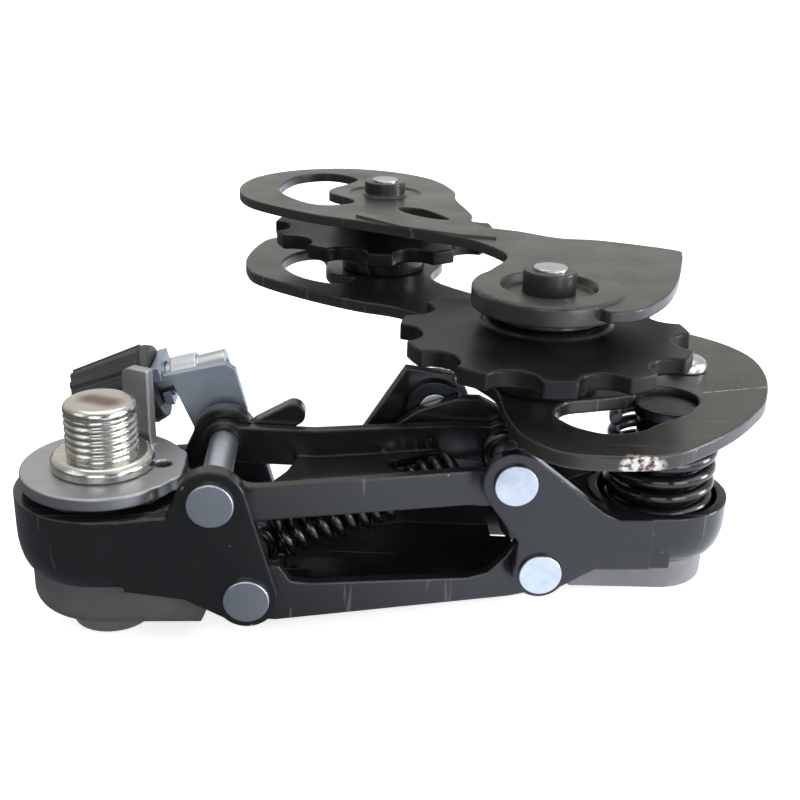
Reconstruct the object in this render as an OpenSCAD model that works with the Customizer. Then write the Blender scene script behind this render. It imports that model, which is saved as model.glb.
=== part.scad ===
// Rear derailleur, origin on the hanger bolt axis at the hanger seat.
// +Z runs inboard along the bolt, +X from the hanger knuckle to the cage knuckle.

/* [Hanger bolt] */
// Thread outer radius
bolt_r = 4.95; // [4.9:0.01:5.0]
// Thread length above the seat
thread_l = 7.5; // [6:0.5:10]
// Chamfer at the thread end
thread_chamfer = 0.95; // [0.4:0.05:1.2]
// Retaining ring outer radius
ring_r = 7.15; // [6.8:0.05:7.6]
// Retaining ring height
ring_h = 2.0; // [1.5:0.1:2.0]
// Groove radius under the ring
groove_r = 4.5; // [4.2:0.05:4.6]
// Shank radius below the ring
shank_r = 5.05; // [5.0:0.01:5.1]
// Bolt head radius
head_r = 5.8; // [5.6:0.1:6.4]
// Bolt head height
head_h = 5.1; // [4:0.1:5.5]
// Hexagon socket across corners radius
socket_r = 2.9; // [2.5:0.1:3.2]
// Hexagon socket depth
socket_depth = 4.0; // [3:0.1:4.5]

/* [Stop plate] */
// Plate radius
stop_r = 11.3; // [11:0.1:11.8]
// Plate thickness
stop_t = 1.9; // [1.5:0.1:2.0]
// Upright tab height above the plate top
tab_h = 11.5; // [8:0.5:12]
// Upright tab width
tab_w = 4.6; // [4:0.1:5]
// Upright tab thickness
tab_t = 1.6; // [1.2:0.1:1.8]
// Direction in which the tab faces
tab_turn = 61.6; // [55:0.2:70]
// Distance of the spring leg hole from the axis
leg_x = 8.2; // [8.1:0.05:8.3]

/* [Hanger knuckle] */
// Barrel outer radius
knuckle_r = 12.3; // [12.1:0.1:12.6]
// Radius at the foot of the barrel
foot_r = 10.6; // [10:0.1:11]
// Height where the barrel starts to narrow
narrow_z = -10; // [-11:0.1:-9]
// Rim height of the barrel
rim_z = -4.9; // [-5.2:0.1:-4.6]
// Underside of the barrel
knuckle_z = -15.4; // [-16:0.1:-15]
// Spring cavity radius
cavity_r = 9.5; // [9.4:0.05:9.8]
// Floor thickness under the spring
floor_t = 2.0; // [1.5:0.1:2.5]
// Ear plate thickness
ear_t = 2.2; // [1.8:0.1:2.3]
// Radius of the ear about the upper pin
ear_r = 4.7; // [4.4:0.1:5]
// Radius of the ear about the lower pin
ear_low_r = 4.2; // [4:0.1:4.5]
// Length of the finger on the rear ear
finger_l = 10.1; // [9:0.1:10.4]
// Tip radius of the finger
finger_r = 1.7; // [1.2:0.1:2.2]

/* [Hanger cover] */
// Cover height
cover_h = 6.4; // [5.6:0.1:6.8]
// Cover radius about the bolt
cover_r = 10.6; // [10:0.1:11.5]
// Slanted end of the cover
cover_x = 15.3; // [13:0.1:15.6]
// Rounding of the cover's lower edge
cover_round = 2.2; // [1:0.1:2.6]

/* [Pivot pins] */
// Pin shaft radius
pin_r = 2.1; // [1.8:0.05:2.3]
// Pin head radius
pin_head_r = 3.1; // [2.8:0.05:3.3]
// Pin head height
pin_head_h = 0.7; // [0.4:0.05:1]
// Running clearance on the radius
run = 0.06; // [0.02:0.01:0.1]
// Fixed fit clearance on the radius
fit = 0.01; // [0.01:0.01:0.02]
// Upper left pin across
ul_x = 15.9; // [15.8:0.05:16]
// Upper left pin height
ul_z = -2.3; // [-2.4:0.05:-2.2]
// Link length across
link_dx = 41.7; // [41.5:0.1:42]
// Link drop
link_dz = -1.9; // [-2:0.05:-1.8]
// Step between the two pins across
pair_dx = 4.4; // [4.3:0.05:4.5]
// Step between the two pins in height
pair_dz = -14.3; // [-14.4:0.05:-14.2]

/* [Links] */
// Sheet thickness of the links
sheet = 1.6; // [1.4:0.05:1.6]
// Side gap between link and ear
side_gap = 0.2; // [0.1:0.05:0.3]
// Depth of the outer link below its pins
outer_depth = 4.4; // [4:0.1:4.6]
// Depth of the inner link below its pins
inner_depth = 3.1; // [2.8:0.1:3.3]
// Height of the inner link above its pins
inner_rise = 1.1; // [0.8:0.1:2]
// Extra depth of the front walls at the cage end
front_drop = 1.5; // [1:0.1:1.8]
// Link end radius
link_end_r = 3.3; // [3:0.1:3.4]
// Clearance radius of the open pivot
open_run = 0.1; // [0.06:0.01:0.1]

/* [Return spring] */
// Wire radius
ret_wire = 0.8; // [0.6:0.05:0.85]
// Coil outside radius
ret_r = 3.5; // [3.3:0.1:3.6]
// Coil pitch
ret_pitch = 1.9; // [1.84:0.01:1.94]
// Number of coils
ret_turns = 15; // [13:1:15]

/* [Cable clamp] */
// Press nut flange radius
nut_r = 4.5; // [4:0.1:4.8]
// Press nut flange thickness
nut_t = 1.1; // [0.8:0.1:1.1]
// Clamp bolt radius
clamp_r = 2.5; // [2.4:0.05:2.6]
// Clamp washer radius
washer_r = 5.5; // [5:0.1:6]
// Clamp bolt head radius
clamp_head_r = 4.6; // [4:0.1:5]

/* [Cable adjuster] */
// Bracket plate thickness
bracket_t = 1.3; // [1:0.1:1.4]
// Adjuster tilt
adj_tilt = 15; // [12:1:17]
// Barrel body radius
barrel_r = 2.4; // [2.2:0.1:2.6]
// Hexagon across corners radius
hex_r = 3.2; // [3:0.1:3.4]
// Knob radius at its wide end
knob_r = 6.1; // [5.5:0.1:6.4]
// Knob radius at its narrow end
knob_end_r = 4.7; // [4.4:0.1:5]
// Knob length
knob_l = 10.8; // [10:0.2:11.4]
// Number of knob ribs
knob_ribs = 14; // [10:1:18]

/* [Cage knuckle] */
// Cage axis across
p_x = 81.0; // [80.6:0.1:81.4]
// Cage axis depth
p_y = 9.0; // [8.8:0.1:9.2]
// Cup radius
cup_r = 10.4; // [10.2:0.1:10.6]
// Radius at the foot of the cup
cup_foot_r = 8.2; // [7.8:0.1:8.6]
// Height where the cup starts to narrow
cup_narrow_z = -13; // [-13.6:0.1:-12.4]
// Cup rim height
cup_rim = -9.9; // [-10.4:0.1:-9.5]
// Cup underside
cup_z = -17.9; // [-18.2:0.1:-17.6]
// Front face of the cage knuckle
p_front = -1.8; // [-1.9:0.05:-1.7]
// Cover height under the cup
p_cover_h = 4.9; // [4.4:0.1:5.2]
// Axle radius
axle_r = 4.0; // [3.8:0.05:4.2]
// Axle radius in the cage plate
axle_top_r = 4.6; // [4.5:0.1:4.8]
// Depth of the axle end below the plate top
axle_sink = 0.9; // [0.6:0.1:1.1]
// Cup wall thickness
cup_wall = 1.4; // [1.2:0.1:1.5]
// Sleeve wall about the axle
sleeve_t = 1.6; // [1.2:0.1:1.8]

/* [Cage spring] */
// Share of the room beside the sleeve that the wire radius takes
wire_share = 0.33; // [0.29:0.01:0.35]
// Coil pitch
cage_pitch = 2.55; // [2.4:0.01:2.6]
// Number of coils
cage_turns = 6.5; // [6:0.5:6.5]

/* [Cage] */
// Outer plate top height
plate_z = 4.8; // [4.7:0.1:4.9]
// Outer plate thickness
plate_t = 2.2; // [1.8:0.1:2.2]
// Inner plate top height
inner_z = 19.7; // [19.5:0.1:20]
// Inner plate thickness
inner_t = 1.7; // [1.5:0.1:1.9]
// Guide pulley across
guide_x = 63.3; // [63.2:0.1:63.4]
// Guide pulley depth
guide_y = 15.1; // [15:0.1:15.2]
// Tension pulley across
tension_x = 41.4; // [41.2:0.1:41.6]
// Tension pulley depth
tension_y = 79.4; // [79.2:0.1:79.6]
// Guide disc radius on the inner plate
disc_r = 11.4; // [11:0.1:11.6]
// Rolled rim height
disc_rim = 2.6; // [1.8:0.1:2.8]
// Step from the plate up to the disc
disc_rise = 0.4; // [0.2:0.05:0.6]
// Depth of the dish inside the disc
dish = 1.2; // [0.8:0.1:1.4]
// Radius of the dish
dish_r = 7.3; // [7:0.1:7.8]
// Collar height about each pulley bolt
collar_h = 2.4; // [1.5:0.1:3]
// Collar radius about each pulley bolt
collar_r = 3.95; // [3.6:0.05:4.2]

/* [Pulleys] */
// Number of teeth
teeth = 11; // [11:1:11]
// Turn of the guide pulley's first tooth
guide_turn = 4.2; // [0:0.1:32]
// Turn of the tension pulley's first tooth
tension_turn = 4.2; // [0:0.1:32]
// Chain pitch
chain_pitch = 12.7; // [12.6:0.1:12.8]
// Depth of the tooth tips inside the pitch circle
tooth_tip = 0.8; // [0.5:0.05:1]
// Roller seat radius
seat_r = 3.95; // [3.9:0.05:4.1]
// Tooth thickness
tooth_t = 2.6; // [2:0.1:2.8]
// Pulley plane height
pulley_z = 11.85; // [11.7:0.05:12]
// Hub half width
hub_w = 3.6; // [3:0.1:3.8]
// Hub radius
hub_r = 8.9; // [8.7:0.1:9.1]
// Inner radius of the flat rim under the teeth
rim_r = 16.3; // [16:0.1:16.6]
// Bushing radius
bush_r = 4.0; // [3.8:0.05:4.2]
// Pulley bolt radius
screw_r = 2.5; // [2.4:0.05:2.6]
// Pulley bolt head radius
screw_head_r = 4.0; // [3.8:0.1:4.2]
// Pulley bolt head height
screw_head_h = 2.0; // [1.6:0.1:2]
// Dust cap radius
cap_r = 8.6; // [8:0.1:8.6]

/* [Hidden] */
$fn = 96;
e = 0.01;
ll_x = ul_x + pair_dx;
ll_z = ul_z + pair_dz;
ur_x = ul_x + link_dx;
ur_z = ul_z + link_dz;
lr_x = ll_x + link_dx;
lr_z = ll_z + link_dz;
ring_fit = groove_r + fit;
head_z = -20.9;
b_front = -12;
b_front_in = b_front + ear_t;
b_back_in = 9.5;
b_back = b_back_in + ear_t + 0.1;
p_front_in = p_front + 2;
p_back_in = 14.4;
p_back = 16.2;
l_front = b_front_in + side_gap;
r_front = p_front_in + side_gap;
l_back = b_back_in - side_gap;
r_back = p_back_in - side_gap;
arm_l = b_back + side_gap;
arm_r = p_back + side_gap + nut_t + 0.1;
adj_y = 18.4;
adj_z = 1.8;
clamp_x = 47.4;
clamp_z = -0.4;
pitch_r = chain_pitch / 2 / sin(180 / teeth);
tip_r = pitch_r - tooth_tip;
cup_in = cup_r - cup_wall - 0.3;
sleeve_r = axle_r + run + sleeve_t;
cage_wire = (cup_in - sleeve_r) * wire_share;
cage_coil = (cup_in + sleeve_r) / 2 + 0.1;
stop_pin = [6.3, 12.7];
stop_turn = atan2(stop_pin[1], stop_pin[0]);
screw_y = knuckle_r + 2.3;
drawn_reach = 66.92;
cage_k = norm([tension_x - guide_x, tension_y - guide_y]) / drawn_reach;
gap_low = plate_z;
gap_high = inner_z - inner_t;
bore = pin_r + run;

function knot(p, i) = p[(i + len(p)) % len(p)];
function between(a, b, c, d, t) =
    0.5 * (2 * b + (c - a) * t + (2 * a - 5 * b + 4 * c - d) * t * t + (3 * b - a - 3 * c + d) * t * t * t);
function smooth(p, n) = [for (i = [0:len(p) - 1]) for (k = [0:n - 1])
    between(knot(p, i - 1), p[i], knot(p, i + 1), knot(p, i + 2), k / n)];
function polar(r, a) = [r * cos(a), r * sin(a)];
function on_cage(p) = [for (q = p) [guide_x + cage_k * q[0], guide_y + cage_k * q[1]]];
function bowl(foot, wide, low, turn) = [for (a = [0:15:90])
    [foot + (wide - foot) * sin(a), turn - (turn - low) * cos(a)]];

// Upright plate from y0 to y1 with its outline drawn in X and Z.
module upright(y0, y1) {
    translate([0, y1, 0])
        rotate([90, 0, 0])
            linear_extrude(y1 - y0)
                children();
}

// Flat plate from z0 to z1.
module flat(z0, z1) {
    translate([0, 0, z0])
        linear_extrude(z1 - z0)
            children();
}

// Round bar along Y.
module cross_bar(x, z, y0, y1, r) {
    translate([x, y1, z])
        rotate([90, 0, 0])
            cylinder(h = y1 - y0, r = r);
}

// Outline of two circles and their common tangents.
module tapered(p1, r1, p2, r2) {
    d = norm(p2 - p1);
    a = atan2(p2[1] - p1[1], p2[0] - p1[0]);
    g = acos((r1 - r2) / d);
    translate(p1)
        circle(r1);
    translate(p2)
        circle(r2);
    polygon([p1 + polar(r1, a + g), p1 + polar(r1, a - g), p2 + polar(r2, a - g), p2 + polar(r2, a + g)]);
}

// Wire coil about Z that starts at the origin height.
module coil(mean_r, wire, pitch, turns, steps, sides) {
    rings = floor(turns * steps);
    points = [for (i = [0:rings]) for (k = [0:sides - 1])
        let (a = i * 360 / steps, b = k * 360 / sides, r = mean_r + wire * cos(b))
        [r * cos(a), r * sin(a), i * pitch / steps + wire * sin(b)]];
    side_faces = [for (i = [0:rings - 1]) for (k = [0:sides - 1])
        let (m = (k + 1) % sides)
        [i * sides + k, i * sides + m, (i + 1) * sides + m, (i + 1) * sides + k]];
    ends = [[for (k = [sides - 1:-1:0]) k], [for (k = [0:sides - 1]) rings * sides + k]];
    polyhedron(points, concat(side_faces, ends), convexity = 6);
}

module mounting_bolt() {
    color("silver") {
        cylinder(h = thread_l - thread_chamfer, r = bolt_r);
        translate([0, 0, thread_l - thread_chamfer])
            cylinder(h = thread_chamfer, r1 = bolt_r, r2 = bolt_r - thread_chamfer);
        translate([0, 0, -ring_h])
            cylinder(h = ring_h, r = groove_r);
        translate([0, 0, head_z])
            cylinder(h = -ring_h - head_z, r = shank_r);
        difference() {
            translate([0, 0, head_z - head_h])
                cylinder(h = head_h, r = head_r);
            translate([0, 0, head_z - head_h - e])
                cylinder(h = socket_depth, r = socket_r, $fn = 6);
        }
    }
}

module retaining_ring() {
    color("silver")
        rotate_extrude()
            polygon([[ring_fit, -ring_h], [ring_r, -ring_h], [ring_r, -0.7], [ring_r - 0.7, 0],
                [ring_fit, 0]]);
}

module stop_plate() {
    top = -ring_h;
    color("gainsboro") {
        flat(top - stop_t, top)
            difference() {
                union() {
                    circle(stop_r);
                    translate([6, -5.5])
                        square([2.7, 11]);
                    translate([6, -3])
                        square([5.2, 6]);
                    for (y = [-3, 3])
                        translate([8.7, y])
                            circle(2.5);
                }
                circle(shank_r + run);
                translate([leg_x, 0])
                    circle(ret_wire + 0.4);
                translate([9.4, -9.4])
                    circle(2.2);
            }
        rotate(tab_turn)
            translate([7.6, 0, top - stop_t])
                rotate([90, 0, 90])
                    linear_extrude(tab_t) {
                        translate([-tab_w / 2, 0])
                            square([tab_w, tab_h + stop_t - 1.8]);
                        translate([-tab_w / 2, 0])
                            square([tab_w - 1.8, tab_h + stop_t]);
                        translate([tab_w / 2 - 1.8, tab_h + stop_t - 1.8])
                            circle(1.8);
                    }
    }
}

module b_spring() {
    color("black") {
        translate([0, 0, knuckle_z + floor_t + 1.2])
            coil(leg_x, 1, 2.2, 2.75, 24, 8);
        translate([leg_x, 0, knuckle_z + floor_t + 1.2 + 2.2 * 2])
            cylinder(h = 5, r = 0.8);
    }
}

module ear_outline() {
    difference() {
        union() {
            tapered([ul_x, ul_z], ear_r, [ll_x, ll_z], ear_low_r);
            polygon([[ul_x - 3.2, ul_z + 3.4], [10, rim_z + 0.6], [4, rim_z], [4, knuckle_z],
                [12, knuckle_z - 1.2], [ll_x - 3, ll_z - 2.9], [ll_x, ll_z]]);
        }
        translate([ul_x, ul_z])
            circle(pin_r + fit);
        translate([ll_x, ll_z])
            circle(pin_r + fit);
    }
}

module rear_ear_outline() {
    difference() {
        union() {
            tapered([ul_x, ul_z], ear_r, [ll_x, ll_z], ear_low_r);
            tapered([ul_x + 0.55 * finger_l, ul_z + 1.1], finger_r + 0.2, [ul_x + finger_l, ul_z + 3.8],
                finger_r);
            polygon([[ul_x - 3.2, ul_z + 3.4], [10, rim_z + 0.6], [4, rim_z], [4, knuckle_z],
                [12, knuckle_z - 1.2], [ll_x - 3, ll_z - 2.9], [ll_x, ll_z]]);
        }
        translate([ul_x, ul_z])
            circle(pin_r + fit);
        translate([ll_x, ll_z])
            circle(pin_r + fit);
    }
}

module b_knuckle() {
    color("#181818")
        difference() {
            union() {
                rotate_extrude()
                    polygon(concat([[0, rim_z], [0, knuckle_z]],
                        bowl(foot_r, knuckle_r, knuckle_z, narrow_z), [[knuckle_r, rim_z]]));
                upright(b_front, b_front_in)
                    ear_outline();
                upright(b_back_in, b_back)
                    rear_ear_outline();
                translate([3, 9, knuckle_z])
                    cube([9.3, screw_y - 6.6, 8]);
            }
            translate([0, 0, knuckle_z + floor_t])
                cylinder(h = 20, r = cavity_r);
            translate([0, 0, knuckle_z - 1])
                cylinder(h = 4, r = shank_r + run);
            for (z = [-9.4, -13.2])
                translate([0, screw_y, z])
                    rotate([0, 90, 0])
                        cylinder(h = 20, r = 1.5 + fit);
        }
}

// Half section of the cover with its lower edge rounded, drawn from the foot up.
module cover_section() {
    square([cover_r - cover_round, cover_h]);
    translate([0, cover_round])
        square([cover_r, cover_h - cover_round]);
    translate([cover_r - cover_round, cover_round])
        circle(cover_round);
}

module b_cover() {
    top = knuckle_z - 0.1;
    color("#202020")
        difference() {
            translate([0, 0, top - cover_h]) {
                rotate_extrude()
                    cover_section();
                for (side = [0, 1])
                    mirror([0, side, 0])
                        rotate([90, 0, 90])
                            linear_extrude(cover_x)
                                cover_section();
            }
            translate([0, 0, top - cover_h - 1])
                cylinder(h = cover_h + 2, r = shank_r + run + 0.05);
            translate([0, 0, top - cover_h - 1])
                cylinder(h = head_z + 0.1 - top + cover_h + 1, r = head_r + 0.4);
            translate([cover_x - 2.2, -20, top - cover_h - 1.4])
                rotate([0, 21, 0])
                    cube([8, 40, 12]);
            for (y = [b_front - 1, b_back_in - 0.15])
                upright(y, y + ear_t + 1.15)
                    polygon([[3.8, knuckle_z], [3.8, knuckle_z - 0.3], [12, knuckle_z - 1.5],
                        [ll_x - 3, ll_z - 3.2],
                        [ll_x, ll_z - 3.2], [ll_x, knuckle_z]]);
        }
}

module adjuster_bracket() {
    y0 = 13.4;
    color("gainsboro")
        difference() {
            union() {
                upright(y0, y0 + bracket_t)
                    polygon([[6.6, 5.9], [15.8, 7.9], [17.3, 7], [19, 0.3], [12.6, -2.6],
                        [12, knuckle_z + 8.1], [7, knuckle_z + 8.1], [6, 0]]);
                on_adjuster()
                    translate([-3.6, y0 - adj_y, 5.9])
                        cube([8.6, 9, bracket_t]);
            }
            on_adjuster()
                cylinder(h = 12, r = barrel_r + 0.25);
        }
}

// Places children with +Z along the adjuster axis.
module on_adjuster() {
    translate([0, adj_y, adj_z])
        rotate([0, 90 - adj_tilt, 0])
            children();
}

module adjuster_barrel() {
    color("silver")
        on_adjuster()
            difference() {
                union() {
                    translate([0, 0, -4])
                        cylinder(h = 12.3, r = barrel_r);
                    translate([0, 0, 8.1])
                        cylinder(h = 4, r = hex_r, $fn = 6);
                    translate([0, 0, 7.3])
                        cylinder(h = 9.1, r = barrel_r);
                }
                translate([0, 0, -5])
                    cylinder(h = 23, r = 1.0);
            }
}

module adjuster_knob() {
    color("#151515")
        on_adjuster()
            translate([0, 0, 4 - knob_l])
                difference() {
                    union() {
                        cylinder(h = knob_l, r1 = knob_end_r, r2 = knob_r);
                        cylinder(h = knob_l + 1.7, r = 4.2);
                    }
                    for (i = [0:knob_ribs - 1])
                        rotate(i * 360 / knob_ribs)
                            translate([knob_end_r + 0.35, 0, -0.5])
                                rotate([0, atan((knob_r - knob_end_r) / knob_l), 0])
                                    cylinder(h = knob_l + 1, r = 0.8);
                    translate([0, 0, -1])
                        cylinder(h = 20, r = 1.2);
                    translate([0, 0, knob_l - 8.01])
                        cylinder(h = 12, r = barrel_r + run);
                }
}

module limit_screws() {
    color("silver")
        for (z = [-9.4, -13.2])
            translate([0, screw_y, z])
                rotate([0, 90, 0])
                    difference() {
                        union() {
                            cylinder(h = 2.9, r = 1.8);
                            cylinder(h = 14.4, r = 1.5);
                        }
                        for (a = [0, 90])
                            rotate(a)
                                translate([-0.3, -1.3, -e])
                                    cube([0.6, 2.6, 1.2]);
                    }
}

module pivot_pin(x, z, y0, y1) {
    color("gainsboro") {
        cross_bar(x, z, y0 - pin_head_h, y0 - 0.02, pin_head_r);
        cross_bar(x, z, y0 - pin_head_h, y1 + 0.5, pin_r);
        cross_bar(x, z, y1 + 0.02, y1 + 0.5, pin_r + 0.6);
    }
}

module upper_left_pin() {
    pivot_pin(ul_x, ul_z, b_front, b_back);
}

module lower_left_pin() {
    pivot_pin(ll_x, ll_z, b_front, arm_l + sheet);
}

module upper_right_pin() {
    pivot_pin(ur_x, ur_z, p_front, p_back);
}

module lower_right_pin() {
    pivot_pin(lr_x, lr_z, p_front, arm_r + sheet);
}

// Plan outline of a wall that runs from y0 at the left pad to y1 at the right pad.
module wall_plan(y0, y1, x0, x1, bend0, bend1) {
    polygon([[x0, y0], [bend0, y0], [bend1, y1], [x1, y1], [x1, y1 + sheet], [bend1 - 0.2, y1 + sheet],
        [bend0 - 0.2, y0 + sheet], [x0, y0 + sheet]]);
}

module outer_link() {
    low = [ll_x, ll_z - outer_depth];
    low_r = [lr_x, lr_z - outer_depth];
    front_low_r = low_r - [0, front_drop / 2];
    color("#1a1a1a")
        difference() {
            union() {
                intersection() {
                    flat(-30, 10)
                        wall_plan(l_front, r_front, ll_x - 5, lr_x + 5, 24, 58);
                    upright(-12, 6)
                        union() {
                            translate([ll_x, ll_z])
                                circle(outer_depth);
                            translate([lr_x, lr_z])
                                circle(outer_depth);
                            polygon([low, front_low_r - [4, 0], low_r + [2, 0.6],
                                [lr_x - 3.4, lr_z + 3.8],
                                [lr_x - 4.8, lr_z + 1.6], [lr_x - 7.4, lr_z - 0.6],
                                [lr_x - 10.4, lr_z - 1],
                                [ll_x + 8.4, ll_z + 0.2], [ll_x + 5.8, ll_z + 1],
                                [ll_x + 4.3, ll_z + 3.6],
                                [ll_x + 2, ll_z + 4]]);
                        }
                }
                intersection() {
                    flat(-30, 10)
                        wall_plan(arm_l, arm_r, ll_x - 5, lr_x + 5, 27, 43);
                    upright(10, 24)
                        union() {
                            translate([ll_x, ll_z])
                                circle(outer_depth);
                            translate([lr_x, lr_z])
                                circle(outer_depth);
                            polygon([low, low_r, [lr_x + 1, lr_z + 4.2], [lr_x - 5, -8.5],
                                [clamp_x + 4.1, -4], [clamp_x + 2.8, clamp_z + 5.4],
                                [clamp_x - 4.6, clamp_z + 6.4],
                                [clamp_x - 11.2, clamp_z - 3], [31, -13.5], [ll_x + 1, ll_z + 4]]);
                        }
                }
                difference() {
                    intersection() {
                        flat(-30, 0)
                            polygon([[ll_x - 1, l_front], [24, l_front], [58, r_front],
                                [lr_x - 2, r_front],
                                [lr_x - 2, r_back], [56.8, r_back], [56.8, arm_r + sheet],
                                [43, arm_r + sheet], [27, arm_l + sheet], [26, arm_l + sheet],
                                [26, l_back], [ll_x - 1, l_back]]);
                        upright(-12, 24)
                            polygon([low - [1, 0], low_r, low_r + [0, sheet], low + [-1, sheet]]);
                    }
                    translate([ll_x - 3, 1, low[1] - 2])
                        cube([7.4, 3, 6]);
                }
            }
            cross_bar(ll_x, ll_z, -20, 30, bore);
            cross_bar(lr_x, lr_z, -20, 30, bore);
            cross_bar(clamp_x, clamp_z, 10, 30, 3.2 + fit);
        }
}

module inner_link() {
    low = [ul_x, ul_z - inner_depth];
    low_r = [ur_x, ur_z - inner_depth];
    color("#1a1a1a")
        difference() {
            union() {
                intersection() {
                    flat(-20, 10)
                        wall_plan(l_front, r_front, ul_x - 5, ur_x + 5, 22, 51.5);
                    upright(-12, 20)
                        union() {
                            translate([ul_x, ul_z])
                                circle(link_end_r);
                            translate([ur_x, ur_z])
                                circle(link_end_r);
                            polygon([low, low_r - [4, front_drop], low_r + [2, -0.5], [ur_x, ur_z + 3],
                                [ur_x - 4.4, ur_z + 0.9], [ul_x + 9, ul_z + inner_rise],
                                [ul_x + 5, ul_z + inner_rise + 0.3], [ul_x, ul_z + 3]]);
                        }
                }
                intersection() {
                    flat(-20, 10)
                        wall_plan(l_back - sheet, r_back - sheet, ul_x - 5, ur_x + 5, 29.4, 50);
                    upright(-12, 20)
                        union() {
                            translate([ul_x, ul_z])
                                circle(link_end_r);
                            translate([ur_x, ur_z])
                                circle(link_end_r);
                            polygon([low, low_r, [ur_x, ur_z + 2.6], [ul_x, ul_z + 2.6]]);
                        }
                }
                intersection() {
                    flat(-20, 10)
                        polygon([[24, l_front + 1.3], [51.5, r_front + 0.4], [55, r_front + 0.4],
                            [55, 3.4],
                            [52, 3.8], [48, 3.2], [44, 3.2], [41.4, 3.8], [39.4, 6], [41.4, 8.4],
                            [44, 10],
                            [48, 11.6], [48, r_back - 1.6], [29.4, l_back - 0.3],
                            [26.8, l_back - 0.3], [26.2, 5.8], [25.2, 2.4], [23.6, -0.6]]);
                    upright(-12, 20)
                        polygon([low, low_r, low_r + [0, sheet], low + [0, sheet]]);
                }
            }
            cross_bar(ul_x, ul_z, -20, 30, bore);
            cross_bar(ur_x, ur_z, -20, 30, pin_r + open_run);
        }
}

module return_spring() {
    a = [ll_x, 2.5, ll_z];
    b = [ur_x, 9, ur_z];
    v = b - a;
    l = norm(v);
    start = 3.6;
    coil_l = ret_turns * ret_pitch;
    color("#101010") {
        translate(a)
            rotate([0, acos(v[2] / l), atan2(v[1], v[0])]) {
                translate([0, 0, start])
                    coil(ret_r - ret_wire, ret_wire, ret_pitch, ret_turns, 16, 8);
                translate([ret_r - ret_wire, 0, 1.8])
                    cylinder(h = start - 1.8, r = ret_wire, $fn = 24);
                translate([ret_r - ret_wire, 0, start + coil_l])
                    cylinder(h = l - start - coil_l - 1.8, r = ret_wire, $fn = 24);
            }
        for (p = [a, b])
            translate(p)
                rotate([90, 0, 0])
                    rotate_extrude()
                        translate([pin_r + 0.1 + ret_wire, 0])
                            circle(ret_wire);
    }
}

module clamp_nut() {
    color("silver")
        difference() {
            union() {
                cross_bar(clamp_x, clamp_z, arm_r - nut_t, arm_r - e, nut_r);
                cross_bar(clamp_x, clamp_z, arm_r - nut_t, arm_r + sheet, 3.2);
            }
            cross_bar(clamp_x, clamp_z, 0, 40, clamp_r + fit);
        }
}

module clamp_washer() {
    color("silver")
        difference() {
            cross_bar(clamp_x, clamp_z, arm_r + sheet + 0.02, arm_r + sheet + 1.2, washer_r);
            cross_bar(clamp_x, clamp_z, 0, 40, clamp_r + run);
        }
}

module clamp_bolt() {
    y0 = arm_r + sheet + 1.22;
    color("silver") {
        cross_bar(clamp_x, clamp_z, arm_r - nut_t, y0 + 1, clamp_r);
        translate([clamp_x, y0 + 3.6, clamp_z])
            rotate([90, 0, 0])
                cylinder(h = 3.6, r = clamp_head_r, $fn = 6);
    }
}

module p_ear_outline(lobe) {
    difference() {
        union() {
            translate([ur_x, ur_z])
                circle(ear_r);
            translate([lr_x, lr_z])
                circle(3.9);
            polygon([[ur_x - 2.6, ur_z + 3.8], [ur_x + 0.6, ur_z + ear_r - 0.1],
                [ur_x + 3.2, ur_z + 3.4],
                [70.7, cup_rim + 1.1], [73, cup_rim], [78, cup_rim], [78, cup_z], [70, cup_z],
                [lr_x + 3, lr_z - 2.4], [lr_x + 1.5, lr_z - 3.5], [lr_x, lr_z],
                [lr_x - 3.6, lr_z + 1.6], [lr_x - 3.5, lr_z + 5.2],
                [ur_x - 3.6, ur_z - 3]]);
            if (lobe)
                polygon([[ur_x, ur_z - 4], [ur_x - 7.6, -6.5], [ur_x - 16.6, -2.5], [ur_x - 13.2, 0.2],
                    [ur_x - 7.2, 2.3], [ur_x - 3.6, 2.3], [ur_x, 0.4]]);
        }
        translate([ur_x, ur_z])
            circle(pin_r + fit);
        translate([lr_x, lr_z])
            circle(pin_r + fit);
    }
}

module p_knuckle() {
    color("#181818")
        difference() {
            union() {
                upright(p_front, p_front_in)
                    p_ear_outline(false);
                upright(p_back_in, p_back)
                    p_ear_outline(true);
                cross_bar(lr_x, lr_z, p_back - 0.5, arm_r - side_gap, 3.6);
                translate([p_x, p_y, 0])
                    rotate_extrude()
                        polygon(concat([[0, cup_rim], [0, cup_z]],
                            bowl(cup_foot_r, cup_r, cup_z, cup_narrow_z), [[cup_r, cup_rim]]));
                intersection() {
                    flat(cup_z, cup_rim)
                        polygon([[67, p_front], [70, p_front], [p_x, p_y - cup_r],
                            [p_x, p_y + cup_r - 1],
                            [72, p_back + 1], [67, p_back]]);
                    upright(-10, 30)
                        polygon([[66, cup_z], [p_x, cup_z], [p_x, cup_rim], [72, cup_rim],
                            [67, cup_rim - 2]]);
                }
                translate([p_x, p_y, 0])
                    rotate(stop_turn)
                        translate([cup_r - 1.5, 1.95, cup_z])
                            cube([6.6, 3.2, 16]);
            }
            difference() {
                translate([p_x, p_y, cup_z + 1.6])
                    cylinder(h = 30, r = cup_r - cup_wall);
                translate([p_x, p_y, cup_z])
                    cylinder(h = 16, r = sleeve_r);
            }
            translate([p_x, p_y, cup_z - 1])
                cylinder(h = 30, r = axle_r + run);
            cross_bar(lr_x, lr_z, p_back - 1, 30, pin_r + fit);
        }
}

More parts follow.
